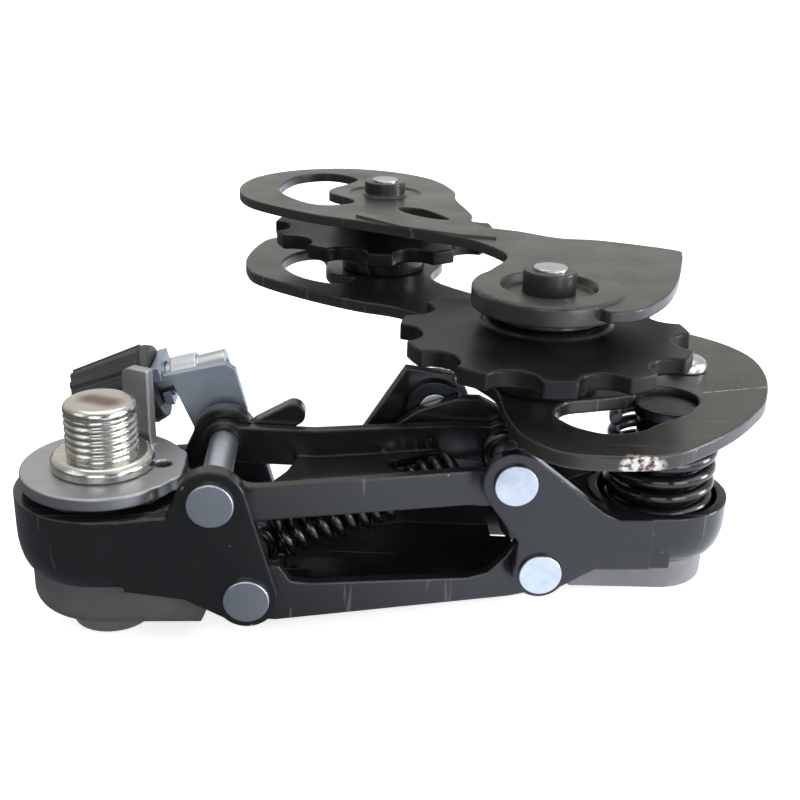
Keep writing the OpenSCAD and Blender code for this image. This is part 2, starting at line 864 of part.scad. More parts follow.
module p_cover() {
    top = cup_z - 0.1;
    color("#2a2a2c")
        difference() {
            flat(top - p_cover_h, top)
                union() {
                    translate([p_x, p_y])
                        circle(cup_foot_r - 0.4);
                    polygon([[67, 1.8], [p_x, p_y - cup_foot_r + 0.4], [p_x, p_y + cup_foot_r - 0.4],
                        [70.4, p_back_in - 0.2], [66, p_back_in - 0.4]]);
                }
            translate([65.8, -20, top - p_cover_h - 1])
                rotate([0, -28, 0])
                    translate([-8, 0, -3])
                        cube([8, 60, 12]);
            translate([p_x, p_y, top - p_cover_h + 1.4])
                cylinder(h = 10, r = 6.6);
        }
}

module p_axle() {
    color("silver")
        translate([p_x, p_y, 0]) {
            translate([0, 0, cup_z - 1.3])
                cylinder(h = plate_z - plate_t - 0.3 - cup_z + 1.3, r = axle_r);
            translate([0, 0, cup_z - 1.3])
                cylinder(h = 1.2, r = 6);
            translate([0, 0, plate_z - plate_t - 0.3])
                cylinder(h = plate_t + 0.3 - axle_sink, r = axle_top_r);
        }
}

module p_spring() {
    color("#101010")
        translate([p_x, p_y, cup_z + 1.6 + cage_wire + 0.1])
            coil(cage_coil, cage_wire, cage_pitch, cage_turns, 28, 10);
}

module outer_cage_plate() {
    body = smooth(on_cage([[-7.1, -11.2], [-5.6, -19.7], [-1.5, -25.1], [4.5, -26.5], [12.5, -25.9],
        [18.2, -22.3], [24.2, -16.8], [28.9, -11.1], [32.4, -5.5], [35.5, 3.9], [35.7, 13.2], [31, 21.6],
        [20.7, 28.9], [4.7, 36.9], [-5.5, 45.5], [-11.6, 53], [-12.2, 58.9], [-9.3, 68.9], [-13.3, 79.9],
        [-23.3, 86.4], [-35.3, 88.1], [-44.2, 85.2], [-47.3, 78.7], [-48.9, 68.9], [-48.3, 61.8],
        [-45.8, 55.8], [-37.3, 47.5], [-27.4, 40.2], [-19.8, 36.3], [-13.3, 28.9], [-10.8, 18.9],
        [-12.8, 10.9], [-10.9, 4.9], [-7.3, -3.1]]), 4);
    kidney = smooth(on_cage([[-0.1, -12.2], [0.9, -15.1], [2.6, -17.2], [6.1, -19], [10.6, -18],
        [13.7, -15.5], [17.3, -12.9], [20.1, -9.9], [19.7, -6.1], [15.7, -3.7], [12.7, -4.7],
        [9.9, -5.7], [6.1, -6.7], [2.1, -8]]), 4);
    crescent = smooth(on_cage([[-41.7, 65.3], [-39.7, 58.4], [-36.5, 54], [-32.4, 51.3], [-29.3, 51],
        [-27.1, 55.3], [-31.4, 56.9], [-32.9, 61.4], [-32.7, 67.4], [-34.3, 74.7], [-38.9, 72.9]]), 4);
    color("#1c1c1c")
        flat(plate_z - plate_t, plate_z)
            difference() {
                polygon(body);
                polygon(kidney);
                polygon(crescent);
                translate([p_x, p_y])
                    circle(axle_top_r + fit);
                translate([guide_x, guide_y])
                    circle(screw_r + fit);
                translate([tension_x, tension_y])
                    circle(screw_r + fit);
                translate([p_x + stop_pin[0], p_y + stop_pin[1]])
                    circle(1.4 + fit);
            }
}

module inner_cage_plate() {
    body = smooth(on_cage([[-0.3, -10.6], [4.7, -9.1], [6.7, -11.3], [11.1, -10], [15.6, -4.6],
    [18.5, 0.6],
        [21.3, 7.7], [23.2, 13.6], [24.9, 19.5], [24.3, 22.9], [13.4, 28.3], [6.6, 29.5], [0.5, 33.8],
        [-5.2, 36.7], [-7.1, 41.4], [-6.5, 45.9], [-8.2, 58], [-7.9, 65.9], [-11.3, 77], [-18.8, 84.3],
        [-28.8, 87.3], [-39.3, 84.5], [-46.9, 76.9], [-49.7, 66.9], [-48.3, 58.3], [-44, 51.9],
        [-34.8, 44],
        [-27.7, 40.3], [-18.5, 34.4], [-9.4, 28.4], [-4.6, 21.2], [-4, 15.9], [-7.3, 9.3], [-11.1, 1.9],
        [-9.3, -6.5]]), 4);
    crescent = smooth(on_cage([[-41.8, 68.7], [-38.8, 78.2], [-32.2, 81.6], [-26.7, 76.3], [-28.9, 70.6],
        [-31.3, 67.3], [-32.2, 62.7], [-27.7, 56.5], [-28.7, 53.1], [-33.3, 51.7], [-37.3, 54.4],
        [-41.5, 61.9]]), 4);
    window = smooth(on_cage([[-19.4, 50.7], [-15.1, 49.8], [-10.9, 42.4], [-12.3, 41.5], [-15.5, 43.4],
        [-18.7, 46.9]]), 4);
    hole = screw_r + fit;
    color("#1c1c1c") {
        flat(inner_z - inner_t, inner_z)
            difference() {
                polygon(body);
                polygon(crescent);
                polygon(window);
                translate([guide_x, guide_y])
                    circle(disc_r - 1);
                translate([tension_x, tension_y])
                    circle(hole);
            }
        translate([guide_x, guide_y, inner_z])
            rotate_extrude()
                polygon([[hole, -inner_t], [dish_r + 0.3, -inner_t], [dish_r + 1.1, -1.3],
                    [disc_r - 1.4, -1.3], [disc_r - 1.4, -disc_rim], [disc_r, -disc_rim],
                    [disc_r, disc_rise - 0.7],
                    [disc_r - 0.2, disc_rise - 0.2], [disc_r - 0.7, disc_rise], [dish_r, disc_rise],
                    [dish_r - 0.6, disc_rise - dish], [collar_r, disc_rise - dish],
                    [collar_r, disc_rise + collar_h], [hole, disc_rise + collar_h]]);
        translate([tension_x, tension_y, inner_z - e])
            linear_extrude(collar_h)
                difference() {
                    circle(collar_r);
                    circle(hole);
                }
    }
}

module cage_stop_pin() {
    color("silver")
        translate([p_x + stop_pin[0], p_y + stop_pin[1], 0]) {
            translate([0, 0, -6])
                cylinder(h = plate_z - plate_t + 6 - e, r = 1.8);
            translate([0, 0, -1])
                cylinder(h = plate_z + 1.3, r = 1.4);
            translate([0, 0, plate_z + 0.02])
                rotate_extrude()
                    polygon([[0, 0], [3.2, 0], [3.2, 0.8], [2.9, 1.5], [2.2, 2], [0, 2.2]]);
        }
}

module pulley(c, turn) {
    color("#161616")
        translate([c[0], c[1], pulley_z])
            difference() {
                union() {
                    rotate(turn)
                        translate([0, 0, -tooth_t / 2])
                            linear_extrude(tooth_t)
                                difference() {
                                    circle(tip_r);
                                    for (i = [0:teeth - 1])
                                        rotate((i + 0.5) * 360 / teeth)
                                            translate([pitch_r, 0])
                                                circle(seat_r);
                                }
                    rotate_extrude()
                        polygon([[bush_r, -hub_w], [hub_r, -hub_w], [hub_r + 0.6, -hub_w + 0.3],
                            [hub_r + 0.8, -hub_w + 0.9], [rim_r, -tooth_t / 2], [rim_r, tooth_t / 2],
                            [hub_r + 0.8, hub_w - 0.9], [hub_r + 0.6, hub_w - 0.3], [hub_r, hub_w],
                            [bush_r, hub_w]]);
                }
                translate([0, 0, -10])
                    cylinder(h = 20, r = bush_r + run);
            }
}

module bushing(c) {
    color("silver")
        translate([c[0], c[1], gap_low + 0.02])
            difference() {
                cylinder(h = gap_high - gap_low - 0.04, r = bush_r);
                translate([0, 0, -1])
                    cylinder(h = 20, r = screw_r + 0.05);
            }
}

module dust_caps(c) {
    color("#1e1e1e")
        translate([c[0], c[1], 0])
            difference() {
                union() {
                    translate([0, 0, gap_low + 0.03])
                        cylinder(h = pulley_z - hub_w - gap_low - 0.15, r1 = cap_r - 0.4, r2 = cap_r);
                    translate([0, 0, pulley_z + hub_w + 0.12])
                        cylinder(h = gap_high - pulley_z - hub_w - 0.15, r1 = cap_r, r2 = cap_r - 0.4);
                }
                translate([0, 0, -1])
                    cylinder(h = 40, r = bush_r + fit);
            }
}

module pulley_bolt(c, rise) {
    low = plate_z - plate_t;
    color("silver")
        translate([c[0], c[1], 0])
            difference() {
                union() {
                    translate([0, 0, low - screw_head_h])
                        cylinder(h = inner_z + collar_h + rise - low + screw_head_h + 0.4, r = screw_r);
                    translate([0, 0, low - screw_head_h])
                        cylinder(h = screw_head_h - e, r = screw_head_r);
                }
                translate([0, 0, low - screw_head_h - e])
                    cylinder(h = 1.6, r = 1.7, $fn = 6);
            }
}

module guide_pulley() {
    pulley([guide_x, guide_y], guide_turn);
}

module guide_bushing() {
    bushing([guide_x, guide_y]);
}

module guide_dust_caps() {
    dust_caps([guide_x, guide_y]);
}

module guide_bolt() {
    pulley_bolt([guide_x, guide_y], disc_rise);
}

module tension_pulley() {
    pulley([tension_x, tension_y], tension_turn);
}

module tension_bushing() {
    bushing([tension_x, tension_y]);
}

module tension_dust_caps() {
    dust_caps([tension_x, tension_y]);
}

module tension_bolt() {
    pulley_bolt([tension_x, tension_y], 0);
}

mounting_bolt();
retaining_ring();
stop_plate();
b_spring();
b_knuckle();
b_cover();
adjuster_bracket();
adjuster_barrel();
adjuster_knob();
limit_screws();
upper_left_pin();
lower_left_pin();
upper_right_pin();
lower_right_pin();
outer_link();
inner_link();
return_spring();
clamp_nut();
clamp_washer();
clamp_bolt();
p_knuckle();
p_cover();
p_axle();
p_spring();
outer_cage_plate();
inner_cage_plate();
cage_stop_pin();
guide_pulley();
guide_bushing();
guide_dust_caps();
guide_bolt();
tension_pulley();
tension_bushing();
tension_dust_caps();
tension_bolt();
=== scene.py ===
"""Looks of the rear derailleur: finishes, threads, springs, lamps and the camera."""

import logging
import math
from collections.abc import Callable, Sequence
from dataclasses import dataclass, field
from enum import Enum

import bmesh
import bpy
from mathutils import Matrix, Vector


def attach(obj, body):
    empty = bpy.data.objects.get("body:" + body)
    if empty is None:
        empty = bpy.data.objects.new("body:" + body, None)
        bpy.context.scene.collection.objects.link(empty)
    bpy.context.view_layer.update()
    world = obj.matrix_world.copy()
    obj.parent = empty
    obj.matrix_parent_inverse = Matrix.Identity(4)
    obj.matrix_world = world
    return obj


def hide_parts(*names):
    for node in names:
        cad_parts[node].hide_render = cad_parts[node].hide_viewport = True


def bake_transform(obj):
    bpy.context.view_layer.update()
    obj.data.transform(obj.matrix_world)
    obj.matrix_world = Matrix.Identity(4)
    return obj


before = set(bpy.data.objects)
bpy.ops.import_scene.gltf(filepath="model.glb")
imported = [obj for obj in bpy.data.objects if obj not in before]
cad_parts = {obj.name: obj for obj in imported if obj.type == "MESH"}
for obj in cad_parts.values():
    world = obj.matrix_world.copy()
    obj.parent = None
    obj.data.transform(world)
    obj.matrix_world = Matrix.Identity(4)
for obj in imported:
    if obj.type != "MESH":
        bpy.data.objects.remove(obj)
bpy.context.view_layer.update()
log = logging.getLogger("derailleur")
MM = 0.001
EDGE_SAMPLES = 6
Point = tuple[float, float, float]
Pair = tuple[float, float]


def linear(hex_colour: str, alpha: float = 1.0) -> tuple[float, float, float, float]:
    """Turns an sRGB hex colour into linear light.

    Args:
        hex_colour: The colour as #RRGGBB.
        alpha: The fourth number.

    Returns:
        Red, green, blue and alpha, linear.
    """
    parts = [int(hex_colour[i : i + 2], 16) / 255 for i in (1, 3, 5)]
    red, green, blue = (c / 12.92 if c <= 0.04045 else ((c + 0.055) / 1.055) ** 2.4 for c in parts)
    return red, green, blue, alpha


def add_node(
    tree: bpy.types.NodeTree,
    kind: str,
    settings: dict[str | int, object],
    links: dict[str | int, bpy.types.NodeSocket] | None = None,
) -> bpy.types.Node:
    """Adds one shader node.

    Args:
        tree: The node tree that takes it.
        kind: The name of the node's type.
        settings: Values for its sockets, by name or number, or for its own properties.
        links: The output socket that feeds each named or numbered input.

    Returns:
        The new node.
    """
    node = tree.nodes.new(kind)
    for name, value in settings.items():
        if isinstance(name, int) or name in node.inputs:
            node.inputs[name].default_value = value
        else:
            setattr(node, name, value)
    for name, socket in (links or {}).items():
        tree.links.new(socket, node.inputs[name])
    return node


def ramp(node: bpy.types.Node, stops: Sequence[tuple[float, str]]) -> None:
    """Sets the stops of a colour ramp.

    Args:
        node: The colour ramp node.
        stops: Each stop's place and its hex colour.
    """
    elements = node.color_ramp.elements
    while len(elements) < len(stops):
        elements.new(0.5)
    for element, (place, colour) in zip(elements, stops):
        element.position = place
        element.color = linear(colour)


def new_material(name: str) -> tuple[bpy.types.Material, bpy.types.NodeTree, bpy.types.Node]:
    """Makes an empty material.

    Args:
        name: The material's name.

    Returns:
        The material, its tree and its output node.
    """
    material = bpy.data.materials.new(name)
    material.use_nodes = True
    tree = material.node_tree
    tree.nodes.clear()
    return material, tree, tree.nodes.new("ShaderNodeOutputMaterial")


def soft_edges(tree: bpy.types.NodeTree, radius_mm: float) -> bpy.types.NodeSocket:
    """Returns a normal that rounds the shading of every edge."""
    edge = add_node(tree, "ShaderNodeBevel", {"samples": EDGE_SAMPLES, "Radius": radius_mm * MM})
    return edge.outputs["Normal"]


@dataclass(frozen=True)
class Stroke:
    """A straight mark from one point to another, where the finish is rubbed through."""

    start: Point
    end: Point
    half_mm: float
    fade_mm: float = 0.1

    def mask(self, tree: bpy.types.NodeTree, place: bpy.types.NodeSocket) -> bpy.types.NodeSocket:
        """Finds how near each point lies to the mark.

        Args:
            tree: The node tree that takes the nodes.
            place: The object coordinates.

        Returns:
            One on the mark and zero away from it.
        """
        a, b = Vector(self.start) * MM, Vector(self.end) * MM
        way = b - a
        offset = add_node(tree, "ShaderNodeVectorMath", {"operation": "SUBTRACT", 1: a}, {0: place})
        along = add_node(
            tree,
            "ShaderNodeVectorMath",
            {"operation": "DOT_PRODUCT", 1: way / way.length_squared},
            {0: offset.outputs["Vector"]},
        )
        share = add_node(tree, "ShaderNodeMapRange", {}, {"Value": along.outputs["Value"]})
        step = add_node(
            tree, "ShaderNodeVectorMath", {"operation": "SCALE", 0: way}, {"Scale": share.outputs["Result"]}
        )
        gap = add_node(
            tree,
            "ShaderNodeVectorMath",
            {"operation": "DISTANCE"},
            {0: offset.outputs["Vector"], 1: step.outputs["Vector"]},
        )
        near = add_node(
            tree,
            "ShaderNodeMapRange",
            {
                "From Min": self.half_mm * MM,
                "From Max": (self.half_mm + self.fade_mm) * MM,
                "To Min": 1.0,
                "To Max": 0.0,
            },
            {"Value": gap.outputs["Value"]},
        )
        return near.outputs["Result"]


@dataclass(frozen=True)
class BakedEnamel:
    """Gloss black baked enamel on pressed steel, so it shows orange peel, hairline scratches and lint."""

    name: str = "baked_enamel_on_steel"
    colour: str = "#151618"
    dust: str = "#8C8A86"
    roughness: float = 0.22
    edge_mm: float = 0.55
    peel_mm: float = 0.9
    peel_strength: float = 0.10
    peel_depth_mm: float = 0.06
    cloud_mm: float = 9.0
    lint_gap_mm: float = 2.6
    scratch_gap_mm: float = 0.5
    hairline_run: float = 60.0
    rub_grain_mm: float = 0.8
    steel: str = "#C9C2BA"
    rust: str = "#8A6A55"
    strokes: tuple[Stroke, ...] = ()

    def build(self) -> bpy.types.Material:
        """Returns the enamel's material."""
        material, tree, output = new_material(self.name)
        place = add_node(tree, "ShaderNodeTexCoord", {}).outputs["Object"]
        peel = add_node(
            tree, "ShaderNodeTexNoise", {"Scale": 1 / (self.peel_mm * MM), "Detail": 2.0}, {"Vector": place}
        )
        cloud = add_node(
            tree, "ShaderNodeTexNoise", {"Scale": 1 / (self.cloud_mm * MM), "Detail": 4.0}, {"Vector": place}
        )
        lint = add_node(
            tree,
            "ShaderNodeTexVoronoi",
            {"Scale": 1 / (self.lint_gap_mm * MM), "Randomness": 1.0},
            {"Vector": place},
        )
        speck = add_node(tree, "ShaderNodeValToRGB", {}, {"Fac": lint.outputs["Distance"]})
        ramp(speck, [(0.035, "#FFFFFF"), (0.07, "#000000")])
        rare = add_node(tree, "ShaderNodeValToRGB", {}, {"Fac": cloud.outputs["Fac"]})
        ramp(rare, [(0.52, "#000000"), (0.60, "#FFFFFF")])
        specks = add_node(
            tree,
            "ShaderNodeMath",
            {"operation": "MULTIPLY"},
            {0: speck.outputs["Color"], 1: rare.outputs["Color"]},
        )
        # Hairlines run mostly one way, as a cloth and a chain leave them.
        lie = add_node(
            tree,
            "ShaderNodeMapping",
            {
                "Rotation": (0.4, 0.9, 0.5),
                "Scale": (self.hairline_run, 1 / (self.scratch_gap_mm * MM), self.hairline_run),
            },
            {"Vector": place},
        )
        hair = add_node(
            tree, "ShaderNodeTexNoise", {"Scale": 1.0, "Detail": 3.0}, {"Vector": lie.outputs["Vector"]}
        )
        hairs = add_node(tree, "ShaderNodeValToRGB", {}, {"Fac": hair.outputs["Fac"]})
        ramp(hairs, [(0.66, "#000000"), (0.70, "#6E6E6E")])
        marks = add_node(
            tree,
            "ShaderNodeMath",
            {"operation": "MAXIMUM"},
            {0: specks.outputs[0], 1: hairs.outputs["Color"]},
        )
        colour = add_node(
            tree,
            "ShaderNodeMix",
            {"data_type": "RGBA", 6: linear(self.colour), 7: linear(self.dust)},
            {0: marks.outputs[0]},
        )
        rough = add_node(
            tree,
            "ShaderNodeMapRange",
            {
                "From Min": 0.35,
                "From Max": 0.7,
                "To Min": self.roughness - 0.05,
                "To Max": self.roughness + 0.09,
            },
            {"Value": cloud.outputs["Fac"]},
        )
        bump = add_node(
            tree,
            "ShaderNodeBump",
            {"Strength": self.peel_strength, "Distance": self.peel_depth_mm * MM},
            {"Height": peel.outputs["Fac"], "Normal": soft_edges(tree, self.edge_mm)},
        )
        shader = add_node(
            tree,
            "ShaderNodeBsdfPrincipled",
            {"IOR": 1.5},
            {
                "Base Color": colour.outputs[2],
                "Roughness": rough.outputs[0],
                "Normal": bump.outputs["Normal"],
            },
        )
        if self.strokes:
            self.rub_through(tree, place, shader, colour.outputs[2])
        tree.links.new(shader.outputs[0], output.inputs["Surface"])
        return material

    def rub_through(
        self,
        tree: bpy.types.NodeTree,
        place: bpy.types.NodeSocket,
        shader: bpy.types.Node,
        enamel: bpy.types.NodeSocket,
    ) -> None:
        """Lets bare steel show along the strokes.

        Args:
            tree: The node tree that takes the nodes.
            place: The object coordinates.
            shader: The enamel's shader node.
            enamel: The enamel's colour.
        """
        ragged = add_node(
            tree,
            "ShaderNodeTexNoise",
            {"Scale": 1 / (self.rub_grain_mm * MM), "Detail": 6.0},
            {"Vector": place},
        )
        worn = add_node(
            tree,
            "ShaderNodeMapRange",
            {"From Min": 0.36, "From Max": 0.52},
            {"Value": ragged.outputs["Fac"]},
        )
        total = self.strokes[0].mask(tree, place)
        for stroke in self.strokes[1:]:
            total = add_node(
                tree, "ShaderNodeMath", {"operation": "MAXIMUM"}, {0: total, 1: stroke.mask(tree, place)}
            ).outputs[0]
        bare = add_node(
            tree, "ShaderNodeMath", {"operation": "MULTIPLY"}, {0: total, 1: worn.outputs["Result"]}
        )
        metal = add_node(
            tree,
            "ShaderNodeMix",
            {"data_type": "RGBA", 6: linear(self.rust), 7: linear(self.steel)},
            {0: worn.outputs["Result"]},
        )
        colour = add_node(
            tree,
            "ShaderNodeMix",
            {"data_type": "RGBA"},
            {0: bare.outputs[0], 6: enamel, 7: metal.outputs[2]},
        )
        tree.links.new(colour.outputs[2], shader.inputs["Base Color"])
        tree.links.new(bare.outputs[0], shader.inputs["Metallic"])


@dataclass(frozen=True)
class ZincPlate:
    """Bright zinc plating on steel, so it shows pale cloudy grey, fine scratches and rubbed patches."""

    name: str = "bright_zinc_plate"
    colour: str = "#C4C8CC"
    dull: str = "#8F959B"
    roughness: float = 0.30
    edge_mm: float = 0.25
    cloud_mm: float = 1.6
    scratch_gap_mm: float = 0.35
    scratch_depth_mm: float = 0.03
    hairline_run: float = 120.0
    brush: float = 0.4
    stain: str = "#7A655E"
    stains: tuple[Stroke, ...] = ()

    def build(self) -> bpy.types.Material:
        """Returns the plating's material."""
        material, tree, output = new_material(self.name)
        place = add_node(tree, "ShaderNodeTexCoord", {}).outputs["Object"]
        cloud = add_node(
            tree, "ShaderNodeTexNoise", {"Scale": 1 / (self.cloud_mm * MM), "Detail": 5.0}, {"Vector": place}
        )
        lie = add_node(
            tree,
            "ShaderNodeMapping",
            {
                "Rotation": (0.2, 0.7, 0.6),
                "Scale": (self.hairline_run, 1 / (self.scratch_gap_mm * MM), self.hairline_run),
            },
            {"Vector": place},
        )
        hair = add_node(
            tree, "ShaderNodeTexNoise", {"Scale": 1.0, "Detail": 4.0}, {"Vector": lie.outputs["Vector"]}
        )
        hairs = add_node(tree, "ShaderNodeValToRGB", {}, {"Fac": hair.outputs["Fac"]})
        ramp(hairs, [(0.42, "#000000"), (0.72, "#FFFFFF")])
        blend = add_node(
            tree,
            "ShaderNodeMath",
            {"operation": "MULTIPLY_ADD", 1: 0.5, 2: 0.0},
            {0: cloud.outputs["Fac"]},
        )
        mix = add_node(
            tree,
            "ShaderNodeMath",
            {"operation": "MULTIPLY_ADD", 1: self.brush},
            {0: hairs.outputs["Color"], 2: blend.outputs[0]},
        )
        colour = add_node(
            tree,
            "ShaderNodeMix",
            {"data_type": "RGBA", 6: linear(self.colour), 7: linear(self.dull)},
            {0: mix.outputs[0]},
        )
        tint = colour.outputs[2]
        for mark in self.stains:
            stained = add_node(
                tree,
                "ShaderNodeMix",
                {"data_type": "RGBA", 7: linear(self.stain)},
                {0: mark.mask(tree, place), 6: tint},
            )
            tint = stained.outputs[2]
        rough = add_node(
            tree,
            "ShaderNodeMapRange",
            {"To Min": self.roughness - 0.08, "To Max": self.roughness + 0.2},
            {"Value": mix.outputs[0]},
        )
        bump = add_node(
            tree,
            "ShaderNodeBump",
            {"Strength": 0.35 * self.brush, "Distance": self.scratch_depth_mm * MM},
            {"Height": hairs.outputs["Color"], "Normal": soft_edges(tree, self.edge_mm)},
        )
        shader = add_node(
            tree,
            "ShaderNodeBsdfPrincipled",
            {"Metallic": 1.0},
            {"Base Color": tint, "Roughness": rough.outputs[0], "Normal": bump.outputs["Normal"]},
        )
        tree.links.new(shader.outputs[0], output.inputs["Surface"])
        return material


@dataclass(frozen=True)
class MouldedNylon:
    """Black moulded nylon, so it shows an even spark texture or a smooth gloss with faint flow marks."""

    name: str
    colour: str = "#232426"
    pale: str = "#3A3B3E"
    roughness: float = 0.55
    grain_mm: float = 0.35
    grain_strength: float = 0.5
    grain_depth_mm: float = 0.08
    flow_mm: float = 6.0
    edge_mm: float = 0.5
    specular: float = 0.5

    def build(self) -> bpy.types.Material:
        """Returns the nylon's material."""
        material, tree, output = new_material(self.name)
        place = add_node(tree, "ShaderNodeTexCoord", {}).outputs["Object"]
        grain = add_node(
            tree, "ShaderNodeTexNoise", {"Scale": 1 / (self.grain_mm * MM), "Detail": 3.0}, {"Vector": place}
        )
        flow = add_node(
            tree, "ShaderNodeTexNoise", {"Scale": 1 / (self.flow_mm * MM), "Detail": 5.0}, {"Vector": place}
        )
        shade = add_node(tree, "ShaderNodeValToRGB", {}, {"Fac": flow.outputs["Fac"]})
        ramp(shade, [(0.40, self.colour), (0.75, self.pale)])
        rough = add_node(
            tree,
            "ShaderNodeMapRange",
            {"To Min": self.roughness - 0.10, "To Max": self.roughness + 0.12},
            {"Value": flow.outputs["Fac"]},
        )
        bump = add_node(
            tree,
            "ShaderNodeBump",
            {"Strength": self.grain_strength, "Distance": self.grain_depth_mm * MM},
            {"Height": grain.outputs["Fac"], "Normal": soft_edges(tree, self.edge_mm)},
        )
        shader = add_node(
            tree,
            "ShaderNodeBsdfPrincipled",
            {"Specular IOR Level": self.specular},
            {
                "Base Color": shade.outputs["Color"],
                "Roughness": rough.outputs[0],
                "Normal": bump.outputs["Normal"],
            },
        )
        tree.links.new(shader.outputs[0], output.inputs["Surface"])
        return material


@dataclass(frozen=True)
class PaleBoard:
    """White laminated board under the object, which shows nearly white and keeps the shadow; to glossy rays
    it glows dim to bright across X, a painted reflection.
    """

    name: str = "white_laminate_board"
    colour: str = "#F4F4F4"
    lift: float = 0.62
    painted_reflection_colour: str = "#E6EDFA"
    dim_end_mm: float = 14.0
    bright_end_mm: float = 72.0
    dim: float = 0.20
    bright: float = 1.9

    def build(self) -> bpy.types.Material:
        """Returns the board's material."""
        material, tree, output = new_material(self.name)
        place = add_node(tree, "ShaderNodeTexCoord", {}).outputs["Object"]
        cloud = add_node(tree, "ShaderNodeTexNoise", {"Scale": 3.0, "Detail": 2.0}, {"Vector": place})
        shade = add_node(tree, "ShaderNodeValToRGB", {}, {"Fac": cloud.outputs["Fac"]})
        ramp(shade, [(0.3, self.colour), (0.7, "#F7F7F7")])
        diffuse = add_node(tree, "ShaderNodeBsdfDiffuse", {}, {"Color": shade.outputs["Color"]})
        light = add_node(tree, "ShaderNodeLightPath", {})
        lift = add_node(
            tree,
            "ShaderNodeMath",
            {"operation": "MULTIPLY", 1: self.lift},
            {0: light.outputs["Is Camera Ray"]},
        )
        glow = add_node(tree, "ShaderNodeEmission", {}, {"Strength": lift.outputs[0]})
        total = add_node(tree, "ShaderNodeAddShader", {}, {0: diffuse.outputs[0], 1: glow.outputs[0]})
        # Glossy rays see the board glow, dim at one end and brighter towards the window side along X: a
        # painted reflection, not the board's colour.
        across = add_node(tree, "ShaderNodeSeparateXYZ", {}, {"Vector": place})
        window = add_node(
            tree,
            "ShaderNodeMapRange",
            {
                "interpolation_type": "SMOOTHSTEP",
                "From Min": self.dim_end_mm * MM,
                "From Max": self.bright_end_mm * MM,
                "To Min": self.dim,
                "To Max": self.bright,
            },
            {"Value": across.outputs["X"]},
        )
        mirrored = add_node(
            tree, "ShaderNodeEmission", {"Color": linear(self.painted_reflection_colour)}, {"Strength": window.outputs[0]}
        )
        whole = add_node(
            tree,
            "ShaderNodeMixShader",
            {},
            {0: light.outputs["Is Glossy Ray"], 1: total.outputs[0], 2: mirrored.outputs[0]},
        )
        tree.links.new(whole.outputs[0], output.inputs["Surface"])
        return material


class Finish(Enum):
    """The finishes of the part; some are paler or darker copies that carry painted light and shade."""

    ENAMEL = BakedEnamel()
    PLATE_ENAMEL = BakedEnamel(
        name="satin_enamel_on_cage_plate",
        colour="#242322",
        roughness=0.30,
        peel_mm=0.45,
        peel_strength=0.25,
        strokes=(
            Stroke((71.0, -11.8, 3.3), (79.8, -14.1, 3.3), 1.2, 0.7),
            Stroke((86.7, 11.2, 4.8), (97.7, 13.9, 4.8), 0.07, 0.06),
        ),
    )
    ZINC = ZincPlate()
    BRIGHT_ZINC = ZincPlate(
        name="bright_zinc_on_bolt",
        colour="#D2D1CC",
        dull="#A09F98",
        roughness=0.22,
        cloud_mm=2.4,
        stains=(Stroke((-1.2, 0.4, 7.5), (1.6, -0.9, 7.5), 0.7, 1.6),),
    )
    DULL_ZINC = ZincPlate(
        name="dull_zinc_on_sheet", colour="#A9ACAF", dull="#8E8B8C", roughness=0.44, cloud_mm=3.0, brush=0.12
    )
    BRACKET_ZINC = ZincPlate(
        name="scuffed_zinc_on_bracket",
        colour="#A9B3C0",
        dull="#8A93A0",
        roughness=0.42,
        cloud_mm=2.2,
        brush=0.2,
    )
    # Zinc plating made dark, as painted shade: the clamp nut lies in shadow and the axle end down in its
    # recess.
    ZINC_DARKENED_FOR_SHADE = ZincPlate(name="zinc_darkened_as_painted_shade", colour="#3A3C40", dull="#1E1F22", roughness=0.30)
    RIVET = ZincPlate(
        name="rivet_zinc_plate", colour="#CFD5DB", dull="#8E96A2", roughness=0.34, cloud_mm=0.9
    )
    COVER = MouldedNylon(name="spark_textured_nylon", colour="#414245", pale="#4C4D50")
    # A paler copy of the cover nylon, painted light: the cage knuckle's cover catches more light on the
    # right.
    PAINTED_LIT_COVER = MouldedNylon(name="spark_textured_nylon_painted_lit", colour="#66676A", pale="#7E7F83")
    KNOB = MouldedNylon(
        name="ribbed_knob_nylon", colour="#17181A", pale="#2A2B2E", roughness=0.42, grain_strength=0.3
    )
    PULLEY = MouldedNylon(
        name="gloss_moulded_nylon",
        colour="#0F1011",
        pale="#1B1C1E",
        roughness=0.34,
        grain_mm=1.5,
        grain_strength=0.12,
        specular=0.2,
    )
    SPRING = BakedEnamel(name="dipped_spring_enamel", colour="#0E0E10", roughness=0.16)


class FinishShelf:
    """Makes each finish once and hands it out."""

    def __init__(self) -> None:
        """Starts with no finish made."""
        self.made: dict[Finish, bpy.types.Material] = {}

    def get(self, finish: Finish) -> bpy.types.Material:
        """Finds or makes a finish.

        Args:
            finish: Which finish.

        Returns:
            Its material.
        """
        if finish not in self.made:
            self.made[finish] = finish.value.build()
        return self.made[finish]


def smooth_faces(mesh: bpy.types.Mesh, angle_deg: float) -> None:
    """Shades a mesh smooth, with its sharp edges kept.

    Args:
        mesh: The mesh.
        angle_deg: The angle above which an edge stays sharp.
    """
    bm = bmesh.new()
    bm.from_mesh(mesh)
    for face in bm.faces:
        face.smooth = True
    for edge in bm.edges:
        edge.smooth = len(edge.link_faces) != 2 or edge.calc_face_angle(0.0) < math.radians(angle_deg)
    bm.to_mesh(mesh)
    bm.free()


def new_piece(name: str, mesh: bpy.types.Mesh, material: bpy.types.Material) -> bpy.types.Object:
    """Puts a mesh into the scene.

    Args:
        name: The piece's name.
        mesh: Its mesh, in metres.
        material: Its material.

    Returns:
        The new object.
    """
    mesh.materials.clear()
    mesh.materials.append(material)
    piece = bpy.data.objects.new(name, mesh)
    bpy.context.scene.collection.objects.link(piece)
    return piece


